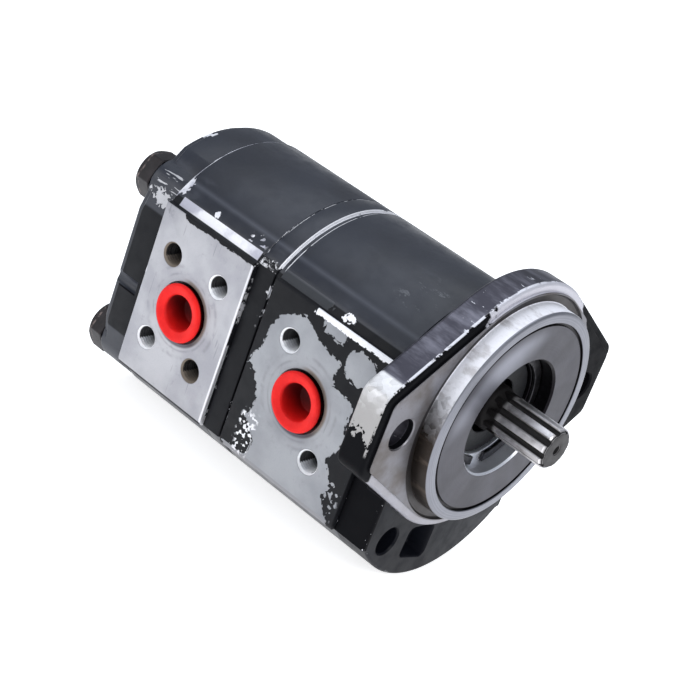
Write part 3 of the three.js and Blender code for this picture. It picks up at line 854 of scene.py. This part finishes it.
def rear_body_look():
    look = Look("rear_body_enamel")
    outer = look.y.abs()
    metal = ground_face(look, REAR_PORT_X, "#b0b0b4", "#9a9aa0")
    along = look.x - REAR_JOINT
    top = look.curve(along + ragged(look, 1.0, 0.7), [
        (0, 15.0), (9, 15.0), (10.5, 12.3), (18, 12.0), (26, 12.5), (30, 12.2), (37, 12.5), (46, 12.4)])
    face = on_port_face(outer) * (look.z + ragged(look, 0.6, 0.5, 2.0) - top).under(0, 0.15)
    low_edge = outer.over(PORT_FACE - 1.6, 0.1) * look.z.under(-20, 1)
    face = face.most(low_edge * look.z.over(-51.9, 0.4))
    shoulder = shoulder_band(look) * (along - 3.5).over(0, 0.3) * (PLATE_BACK - look.x - 1.0).over(0, 0.3)
    shoulder = shoulder * (ragged(look, 1.2, 0.1) + 1.4).over(0, 0.2)
    patch = look.radius(along - 0.6, (look.z - 20.5) * 0.6) + ragged(look, 1.8, 0.8, 2.0)
    patch = patch.under(1.9, 0.2) * look.y.under(-33, 0.5)
    spot = look.radius((look.x + 111.5) * 0.7, look.z - 18.3) + ragged(look, 0.8, 0.31, 1.5)
    spot = spot.under(0.8, 0.2) * look.y.under(-33, 0.5)
    nicks = look.cells(1.1, 0.53).over(0.8, 0.02) * look.z.within(19.0, 1.6, 0.8)
    spot = spot.most(nicks * look.x.within(-91.0, 4.0, 1.0))
    seam = seam_chips(look, along.abs(), 0.15)
    chips = edge_chips(look, along.abs().least(look.off(PLATE_BACK)), 1.4, 0.35)
    screws = [(-1, -1, 1), (-1, 1, 0), (1, -1, 0), (1, 1, 1)]
    rims, metal, mouths = hole_rims(look, REAR_PORT_X, screws, metal)
    bright = shoulder.most(patch, spot, seam)
    bare = bright.most(face, chips, rims)
    sheen = look.noise(9.0, 3.0, 0.5, shift=0.19).over(0.4, 0.2)
    metal = look.mix(bright, metal, look.mix(sheen, "#e9e9ee", "#b4b4c0"))
    return enamel(look, bare, metal, 0.7 - bright * 0.5 - mouths * 0.55)


def front_body_look():
    look = Look("front_body_enamel")
    across = look.x + ragged(look, 1.6, 0.15, 2.4)
    up = look.z + ragged(look, 1.6, 0.55, 2.4)
    outer = look.y.abs()
    metal = ground_face(look, FRONT_PORT_X, "#999b9f", "#85878c")
    left = look.curve(up, [
        (-54, -73), (-51.6, -74), (-50.9, -64.5), (-48.3, -61.6), (-43, -61.4), (-39, -66), (-36.3, -69),
        (-33, -66.5), (-28.8, -66), (-20.2, -69.5), (-19, -74.5), (-15, -73.8), (-10.8, -71), (-3, -69.7),
        (1.9, -68.4), (6.1, -64.7), (8.8, -58)])
    right = look.curve(up, [
        (-54, -20), (-51.5, -20.5), (-46, -25.8), (-43, -26.8), (-40, -24.6), (-30.5, -29.7), (-28, -27.6),
        (-21.1, -25.7), (-13.6, -27.6), (-9, -27.8), (-7.3, -32), (-6.6, -37.3), (-2.6, -38.8), (1.8, -37.4),
        (3.4, -46.6), (7, -53.5), (8.8, -57)])
    bare_face = (across - left).over(0, 0.15) * (right - across).over(0, 0.15) * up.under(8.7, 0.2)
    island = look.radius((across + 29.8) * 0.84, (up - 4.6) * 1.08).under(6.1, 0.2)
    under_strip = up.over(8.2, 0.2) * across.over(-49.5, 0.5) * across.under(-40, 0.5)
    flakes = look.cells(1.0, 0.62).over(0.68, 0.02) * across.within(-65.5, 3.6, 0.8)
    flakes = flakes * up.within(-43.0, 8.5, 2.0)
    loose = look.cells(1.1, 0.31).over(0.82, 0.02) * across.within(-23.0, 3.0, 0.8)
    loose = loose * up.within(-43.0, 8.0, 2.0)
    port_face = on_port_face(outer) * bare_face.most(island, under_strip, flakes, loose)
    lower_edge = outer.over(PORT_FACE - 1.5, 0.1) * look.z.under(-50.6, 0.2)
    lower_edge = lower_edge * across.over(-73, 0.2) * across.under(-21, 0.2)
    dull = shoulder_band(look) * (look.x + ragged(look, 3.0, 0.33)).under(-51.5, 1.0)
    top_edge = (look.z + ragged(look, 0.8, 0.6, 2.0)).over(12, 0.2) * outer.over(41.6, 0.2)
    top_edge = top_edge * across.over(-55, 0.4)
    spot = look.radius((look.x + 43.0) * 0.55, look.z - 15.9) + ragged(look, 1.6, 0.77, 1.5)
    spot = spot.under(1.1, 0.2) * look.y.under(-36, 1) * outer.under(40.8, 0.1)
    smear = look.noise(3.0, 5.0, 0.7, stretch=(0.5, 1, 0.7), shift=0.47).over(0.57, 0.09)
    smear = smear * look.x.within(-29.0, 9.0, 4.0) * look.y.within(-21.0, 8.0, 5.0) * look.z.over(24, 4)
    distance = look.off(PLATE_FRONT).least(look.off(FRONT_JOINT) + 0.8)
    seam = seam_chips(look, look.off(PLATE_FRONT), 0.2, 0.42, 0.7)
    chips = edge_chips(look, distance, 1.0, 0.85, look.z.under(14, 3) * -0.07)
    rims, metal, mouths = hole_rims(look, FRONT_PORT_X, [(-1, 1, 1), (1, -1, 1)], metal)
    bright = seam.most(spot, top_edge, flakes * 0.8)
    metal = look.layers(metal, (lower_edge * look.z.under(-50.8, 0.1), "#8b8b8f"), (bright, "#f0f0f4"),
                        (dull, "#585b60"))
    bare = port_face.most(seam, chips, rims, lower_edge, top_edge, spot)
    bare = bare.most(smear * 0.35, dull * 0.4)
    return enamel(look, bare, metal, 0.7 - bright * 0.5 - mouths * 0.55)


def center_plate_look():
    look = Look("center_plate_enamel")
    edge = look.off(PLATE_FRONT - PLATE_LIP)
    lip = seam_chips(look, edge, 0.42, 0.36)
    front = seam_chips(look, look.off(PLATE_FRONT), 0.92, 0.4)
    back = seam_chips(look, look.off(PLATE_BACK), 0.55, 0.5)
    distance = edge.least(look.off(PLATE_BACK) + 0.6)
    chips = edge_chips(look, distance, 1.2, 1.25, look.z.under(14, 3) * -0.08)
    worn = shoulder_band(look, 13.9, 17.2) * look.noise(3.0, 5.0, 0.7, shift=0.66).over(0.52, 0.08)
    side = look.y.abs().over(40.2, 0.1) * look.cells(1.0, 0.9).over(0.87, 0.02) * look.z.within(1.0, 7.0, 2.0)
    side = side * look.x.over(-79, 1)
    bare = lip.most(front, back, chips, worn, side)
    return enamel(look, bare, "#e4e4e8", 0.3, gloss=0.32)


def rear_cover_look():
    look = Look("rear_cover_enamel")
    joint = seam_chips(look, look.off(REAR_JOINT), 0.15, 0.46)
    side_joint = edge_chips(look, look.off(REAR_JOINT), 0.9, 1.05) * look.z.under(10, 2)
    corner = look.radius((look.x + 139.0) * 0.5, look.z - 11.0) + ragged(look, 3.0, 0.44, 1.4)
    corner = corner.under(2, 0.2) * look.y.under(-36, 0.2)
    back = look.x.under(-143, 0.2) * (look.y + ragged(look, 2.0, 0.21)).within(-14.0, 2.2, 0.1)
    back = back * look.z.over(18, 2)
    # A painted highlight: light streaks along the top of the left lug.
    lug_highlight = look.radius(look.y + BOLT_Y, look.z - (MIDDLE_Z + BOLT_Z)).over(8.9, 0.1) * look.z.over(12, 1.0)
    highlight_lines = look.noise(2.6, 3.0, 0.6, stretch=(0.16, 1, 1), shift=0.73).over(0.6, 0.02)
    lug_highlight = lug_highlight * highlight_lines * look.y.under(-30, 1) * look.x.under(-131.6, 0.2) * 0.55
    chips = small_chips(look, 1.4, 0.9) * look.z.under(8, 2)
    bare = joint.most(side_joint, corner * 0.55, back, lug_highlight, chips)
    return enamel(look, bare, "#e9e9ed", 0.25, gloss=0.36)


def rim_metal(look):
    """The worn metal round the flange's rim, with lighter streaks that are partly wear and partly painted
    highlight, and small painted glints.
    """
    streak_and_sheen = look.noise(6.0, 4.0, 0.65, stretch=(0.3, 1, 1), shift=0.45).over(0.4, 0.35)
    glint = look.noise(1.8, stretch=(0.5, 1, 1), shift=0.83) + look.noise(9.0, 2.0, 0.55, shift=0.13) * 0.6
    return look.layers("#44434b", (streak_and_sheen, "#777680"), (glint.over(0.98, 0.05) * 0.8, "#e4e4ea"))


def pilot_wall(look, reach, uneven):
    """The pilot's outer wall: its extent, a painted highlight on its upper side, and its colour with that
    highlight.
    """
    wall = reach.within(PILOT_RADIUS, 0.35, 0.05) * look.x.under(PILOT_FACE - 0.9, 0.2)
    # A painted highlight: the wall painted near white towards its top.
    bright = (look.z - look.y * 0.15 + uneven * 2.0).over(4, 22)
    stain = look.noise(5.0, stretch=(0.5, 1, 1), shift=1.7).over(0.5, 0.2)
    return wall, bright, look.layers("#332d29", (bright, "#f4f4fa"), (stain * 0.4, "#6b5f55"))


def pilot_nose(look, reach):
    """The turned front face of the pilot, with a darker disc inside its groove, painted with a fan of
    reflections and a highlight towards its upper left.
    """
    # A painted reflection: radial streaks that lighten the disc like light on a turned face.
    fan = look.noise(9.0, 2.0, 0.5, at=(look.y * (20.0 / reach), look.z * (20.0 / reach), look.x * 0.0))
    rings = look.noise(0.5, 2.0, 0.6, at=(reach, reach * 0.0, reach * 0.0))
    fan_reflection = (fan - 0.2 + rings * 0.25).over(0.25, 0.4)
    # A painted highlight towards the upper left of the disc.
    sheen = (look.z - look.y).over(24, 18) * reach.under(30, 7)
    disc = look.layers("#434247", (fan_reflection, "#504f56"), (sheen * 0.55, "#a9abb6"))
    ring = look.mix(rings.over(0.3, 0.4), "#8f9098", "#7a7b82")
    return look.mix(reach.over(FACE_GROOVE, 0.3), disc, ring)


def front_cover_look():
    look = Look("front_cover_enamel")
    outer = look.y.abs()
    reach = look.radius(look.y, look.z)
    hole_reach = look.radius(outer - EAR_SPACING / 2, look.z)
    uneven = ragged(look, 2.2, 0.12, 3.0)
    off_pad = look.x.under(-0.45, 0.1)
    past_relief = reach.over(RELIEF_RADIUS + 0.6, 0.2)
    border = look.x.over(-2.6, 0.4) * off_pad * past_relief
    slope = outer * math.cos(EAR_SLOPE) + look.z.abs() * math.sin(EAR_SLOPE)
    on_flange = slope.under(48.5, 0.2) * reach.under(48.5, 0.2).most(outer.over(26.5, 0.3))
    on_flange = on_flange * look.x.over(-12.3, 0.3)
    rim = past_relief * look.x.under(-1.3, 0.05) * on_flange
    ear_end = look.y.under(-60, 1) * off_pad

    left_border = border * (look.y - look.z * 0.2 + uneven * 2.0).under(-33, 1)
    left_border = left_border * (look.z + uneven).over(-14, 2)
    right = look.y.over(10, 1) * (reach + uneven * 0.3).over(46.6, 0.3)
    right = right * (look.y + look.z * 0.2).over(38, 1)
    ear_paint = ear_end * (look.z + ragged(look, 6.5, 0.9, 2.4) + look.x * 0.5).under(-6.5, 0.3)
    low_rim = rim * look.z.under(-10, 2) * (look.x + uneven * 0.6).under(-4.4, 0.4)
    dull = right.most(ear_paint, left_border)
    flange = on_flange * (1.0 - dull.most(low_rim))
    sealed = reach.under(PILOT_RADIUS + 0.3, 0.1) * look.x.over(-10.2, 0.2)

    outline = look.radius(look.y, look.z - DOME_BOTTOM_Z).over(49, 0.2).most(outer.over(39.5, 0.2))
    low_edge = look.x.within(LOWER_FACE - 0.3, 0.6, 0.2) * outline * look.z.under(-30, 1)
    worn_line = look.x.within(-2.3, 0.45, 0.12) * on_flange * look.y.under(8, 1) * look.z.over(-8, 2)
    worn_line = worn_line * hole_reach.over(10, 0.5)
    worn_line = worn_line * look.noise(5.0, 5.0, 0.7, shift=0.27).over(0.44, 0.03)
    chips = edge_chips(look, look.off(FRONT_JOINT), 1.2, 0.95).most(worn_line)
    chips = chips.most(low_edge * look.noise(2.2, 5.0, 0.7, shift=0.15).over(0.62, 0.02))
    chips = chips.most(small_chips(look, 0.9, 0.98) * look.z.under(-50, 1))

    cloud = look.noise(12.0, shift=0.3).over(0.35, 0.35)
    flake = ear_end * on_flange
    flake_metal = look.mix((look.z + uneven * 2.0).under(6, 16), "#f0f0f3", "#a19f9e")
    # The relief groove round the pilot, painted dark brown as shade in the groove.
    relief = reach.over(PILOT_RADIUS + 0.05, 0.15) * reach.under(RELIEF_RADIUS + 0.1, 0.4)
    wall, wall_highlight, wall_metal = pilot_wall(look, reach, uneven)
    nose = reach.under(PILOT_RADIUS + 0.1, 0.2) * look.x.over(PILOT_FACE - 0.9, 0.2)
    # The face groove, painted near black as shade in the groove.
    groove = reach.within(FACE_GROOVE, 0.75, 0.15) * look.x.under(PILOT_FACE - 0.45, 0.15) * sealed
    # The seal bore: painted near white where lit and near black where in shade.
    bore = reach.under(SEAL_BORE + 0.6, 0.2) * look.x.under(PILOT_FACE - 0.5, 0.05)
    bore_light_and_shade = (look.y + look.z * 0.7 + uneven).over(2, 5)
    # The ear holes' walls, darkened as painted shade.
    hole = hole_reach.under(EAR_HOLE + 0.3, 0.1) * look.x.under(-0.9, 0.2)
    pits = look.noise(2.0, 5.0, 0.7, shift=0.6).over(0.62, 0.06) * (1.0 - off_pad)
    pits = pits * reach.over(RELIEF_RADIUS, 1.0)
    # The bare border below gets lighter towards the top: painted light from above.
    metal = look.layers(
        "#7c7b80", (cloud, "#625d5b"), (rim, rim_metal(look)),
        (border * (look.z.over(-5, 25) * 0.45 + 0.4), "#d2d1d9"), (chips, "#d9d9e0"),
        (flake, flake_metal), (relief * 0.85, "#2c2826"), (wall, wall_metal),
        (nose, pilot_nose(look, reach)), (groove * 0.95, "#1b191b"),
        (bore, look.mix(bore_light_and_shade, "#eceef4", "#141215")), (hole * 0.6, "#3c3a40"), (pits * 0.5, "#4f4642"))
    soft = border.most(flake, chips, wall * wall_highlight * 1.7)
    return enamel(look, flange.most(sealed, chips), metal, 0.85 - soft * 0.5, metal_rough=0.4, gloss=0.36,
                  paint="#14161d", paint_low="#101117", shine=0.1, dull=dull)


def steel_look(name, tint, dark, rough, grime_and_shade, bands):
    """Ground or turned steel; bands is the field along which the turning marks run, and the grime function
    darkens it, with dirt and, on the drive shaft, painted shade.
    """
    look = Look(name)
    marks = look.noise(0.3, 3.0, 0.6, at=bands(look))
    cloud = look.noise(6.0, shift=0.31)
    # Dirt, and on the drive shaft painted shade, darken the steel near black.
    dirt_and_shade = grime_and_shade(look)
    colour = look.layers(tint, (cloud.over(0.35, 0.4), dark), (dirt_and_shade, "#0d0b0b"))
    look.set(Base_Color=colour, Metallic=1.0 - dirt_and_shade * 0.95, Specular_IOR_Level=0.5 - dirt_and_shade * 0.42,
             Roughness=cloud * 0.16 + marks * 0.1 + dirt_and_shade * 0.25 + rough)
    look.bump(marks * 0.012 + cloud * 0.01)
    return look.material


def along_x(look):
    return (look.x, look.x * 0.0, look.x * 0.0)


def plain_metal(name, tint, dark, rough, size=5.0):
    look = Look(name)
    cloud = look.noise(size, shift=0.25)
    grain = look.noise(0.6, 3.0, 0.6, shift=0.5)
    look.set(Base_Color=look.mix(cloud.over(0.35, 0.35), tint, dark), Metallic=1.0,
             Roughness=cloud * 0.18 + grain * 0.08 + rough)
    look.bump(grain * 0.015 + cloud * 0.02)
    return look.material


def bolt_look():
    look = Look("bolt_phosphate")
    cloud = look.noise(4.0, 4.0, 0.65, shift=0.14)
    rust = look.noise(2.2, 5.0, 0.7, shift=0.6).over(0.58, 0.12)
    back = look.x - (COVER_BACK - BOLT_HEAD)
    crown = back.within(2.2, 0.35, 0.2) * look.noise(1.6, 4.0, 0.65, shift=0.4).over(0.42, 0.2)
    colour = look.layers("#1e191c", (cloud.over(0.3, 0.4), "#131013"), (rust * 0.3, "#3f2a22"),
                         (crown * 0.5, "#8d7f7c"))
    look.set(Base_Color=colour, Metallic=0.3 + crown * 0.3, Roughness=cloud * 0.2 + rust * 0.2 + 0.34,
             Specular_IOR_Level=0.4)
    look.bump(cloud * 0.05 + rust * 0.03 + look.noise(0.6, 3.0, 0.55, shift=0.8) * 0.015)
    return look.material


def soft_look(name, tint, dark, rough, grain_size, grain_relief, cloud_relief, shade=None):
    """Rubber or moulded plastic with a fine grain; the shade function, where given, is 1 where it is deep in
    shadow, and there the colour is darkened as painted shade.
    """
    look = Look(name)
    cloud = look.noise(5.0, shift=0.22)
    grain = look.noise(grain_size, 3.0, 0.6, shift=0.44)
    colour = look.mix(cloud.over(0.3, 0.4), tint, dark)
    # Painted shade: the colour darkened to deep red where the shade function says.
    if shade:
        colour = look.mix(shade(look) * 0.95, colour, "#3c0306")
    look.set(Base_Color=colour, Roughness=cloud * 0.15 + grain * 0.1 + rough, Specular_IOR_Level=0.2)
    look.bump(grain * grain_relief + cloud * cloud_relief)
    return look.material


def plug_cup_shade(look):
    """Painted shade in the hollow inside a port plug, more so towards its upper side."""
    depth = PORT_FACE - look.y.abs()
    return depth.over(-1.6, 1.0) * (depth * 0.6 + (look.z - MIDDLE_Z) * 0.8).over(-5.5, 9.0)


# Darker spline roots and end face, and the neck deep in the seal bore painted near black as shade.
def shaft_darkening(look):
    reach = look.radius(look.y, look.z)
    end = look.x.over(SHAFT_END - 0.4, 0.2)
    root = reach.under(7, 0.5) * (1.0 - end)
    neck = look.x.under(4, 3)
    return (root * 0.97).most(neck * 0.99, end * 0.9)


def light_grime(look):
    return look.noise(7.0, shift=0.71).over(0.55, 0.25) * 0.4


# ---------- the pieces ----------

def crease(mesh, degrees):
    """Smooth shading, kept sharp across edges that turn more than the given angle."""
    mesh.shade_smooth()
    bm = bmesh.new()
    bm.from_mesh(mesh)
    limit = math.radians(degrees)
    for edge in bm.edges:
        edge.smooth = len(edge.link_faces) == 2 and edge.calc_face_angle(0.0) < limit
    bm.to_mesh(mesh)
    bm.free()


def piece(name, node, mesh, material, body="housing", degrees=28):
    mesh.name = name
    crease(mesh, degrees)
    mesh.materials.clear()
    mesh.materials.append(material)
    thing = new_object(name, mesh)
    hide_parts(node)
    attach(thing, body)
    return thing


dark_steel = steel_look("drive_shaft_steel", "#e2dfe0", "#a8a4a4", 0.2, shaft_darkening, along_x)
ground_steel = steel_look("ground_steel", "#9a9896", "#6d6a68", 0.2, light_grime, along_x)
alloy = plain_metal("block_alloy", "#b4b5b8", "#8f9094", 0.3)
bronze = plain_metal("liner_bronze", "#a98452", "#7d5f38", 0.3, 3.0)
spring = plain_metal("spring_steel", "#4e4d50", "#2f2e31", 0.22, 3.0)
rubber = soft_look("black_rubber", "#15161a", "#0c0d0f", 0.35, 0.8, 0.03, 0.03)
nylon = soft_look("white_nylon", "#e6e2d4", "#d2ccbb", 0.4, 0.8, 0.02, 0.02)
red = soft_look("red_plastic", "#e81c18", "#d81414", 0.4, 0.9, 0.015, 0.03, plug_cup_shade)
bolt = bolt_look()

castings = {
    "front_cover": (build_front_cover(), front_cover_look()),
    "front_body": (build_body(PLATE_FRONT, FRONT_JOINT, FRONT_PORT_X, True), front_body_look()),
    "center_plate": (build_center_plate(), center_plate_look()),
    "rear_body": (build_body(REAR_JOINT, PLATE_BACK, REAR_PORT_X, False), rear_body_look()),
    "rear_cover": (build_rear_cover(), rear_cover_look()),
}
for node, (mesh, look) in castings.items():
    piece(f"{node}_casting", node, mesh, look)
piece("splined_drive_shaft", "drive_shaft", build_drive_shaft(), dark_steel, "drive_train")
piece("lip_seal", "shaft_seal", build_shaft_seal(), rubber)
piece("seal_snap_ring", "seal_retaining_ring", build_retaining_ring(), spring)
for side, side_name in ((-1, "left"), (1, "right")):
    for level, level_name in ((1, "upper"), (-1, "lower")):
        node = f"tie_bolt_{level_name}_{side_name}"
        mesh = build_bolt(side * BOLT_Y, MIDDLE_Z + level * BOLT_Z)
        piece(f"hex_{node}", node, mesh, bolt)
for section, port_x in (("front", FRONT_PORT_X), ("rear", REAR_PORT_X)):
    for side, port in ((-1, "outlet"), (1, "inlet")):
        node = f"{section}_{port}_plug"
        piece(f"{node}_moulding", node, build_plug(port_x, side), red)

inner_looks = {"hardened_steel": ground_steel, "aluminium_alloy": alloy, "bearing_bronze": bronze,
               "black_rubber": rubber, "nylon": nylon}
slots = {row["node"]: row["material_slot"] for row in frame["record"]["subparts"]}
for name, thing in sorted(frame["nodes"].items()):
    if not thing.hide_render and slots[name] in inner_looks:
        thing.data.materials.clear()
        thing.data.materials.append(inner_looks[slots[name]])


# ---------- the stage ----------

def build_floor():
    bm = bmesh.new()
    bmesh.ops.create_grid(bm, x_segments=8, y_segments=8, size=12)
    floor = new_object("floor", to_mesh(bm, "floor"))
    floor.location = (0, 0, cad_size[0][2])
    look = Look("pale_floor")
    look.set(Base_Color="#fbfbfb", Roughness=0.85, Emission_Color="#ffffff", Emission_Strength=0.72)
    floor.data.materials.append(look.material)


def add_light(name, place, target, size, power, colour=(1, 1, 1)):
    data = bpy.data.lights.new(name, "AREA")
    data.shape = "RECTANGLE"
    data.size, data.size_y = size
    data.energy = power
    data.color = colour
    light = new_object(name, data)
    light.location = place
    light.rotation_euler = (Vector(target) - Vector(place)).to_track_quat("-Z", "Y").to_euler()


def add_camera():
    data = bpy.data.cameras.new("camera")
    data.sensor_width = 36.0
    data.lens = 93.5
    data.clip_start = 0.01
    data.clip_end = 60.0
    camera = new_object("camera", data)
    right = Vector((0.7047, 0.6315, 0.3235))
    down = Vector((0.5078, -0.1304, -0.8516))
    ahead = Vector((-0.4956, 0.7643, -0.4126))
    turn = Matrix((right, -down, -ahead)).transposed().to_4x4()
    camera.matrix_world = Matrix.Translation((0.2606, -0.5010, 0.2557)) @ turn
    bpy.context.scene.camera = camera


def build_world():
    world = bpy.data.worlds.new("studio")
    world.use_nodes = True
    back = world.node_tree.nodes["Background"]
    back.inputs["Color"].default_value = (0.84, 0.9, 1.0, 1)
    back.inputs["Strength"].default_value = 0.42
    bpy.context.scene.world = world


build_floor()
build_world()
add_camera()
add_light("top_box", (-0.2, 0.1, 0.85), (-0.06, 0, 0.02), (1.1, 0.9), 4.5, (0.88, 0.93, 1.0))
add_light("left_box", (-0.45, -0.75, 0.35), (-0.06, -0.02, -0.02), (0.6, 0.5), 2.5)
add_light("front_box", (0.75, -0.25, 0.45), (0, 0, 0), (0.35, 0.35), 3.0)
bpy.context.scene.view_settings.view_transform = "Standard"
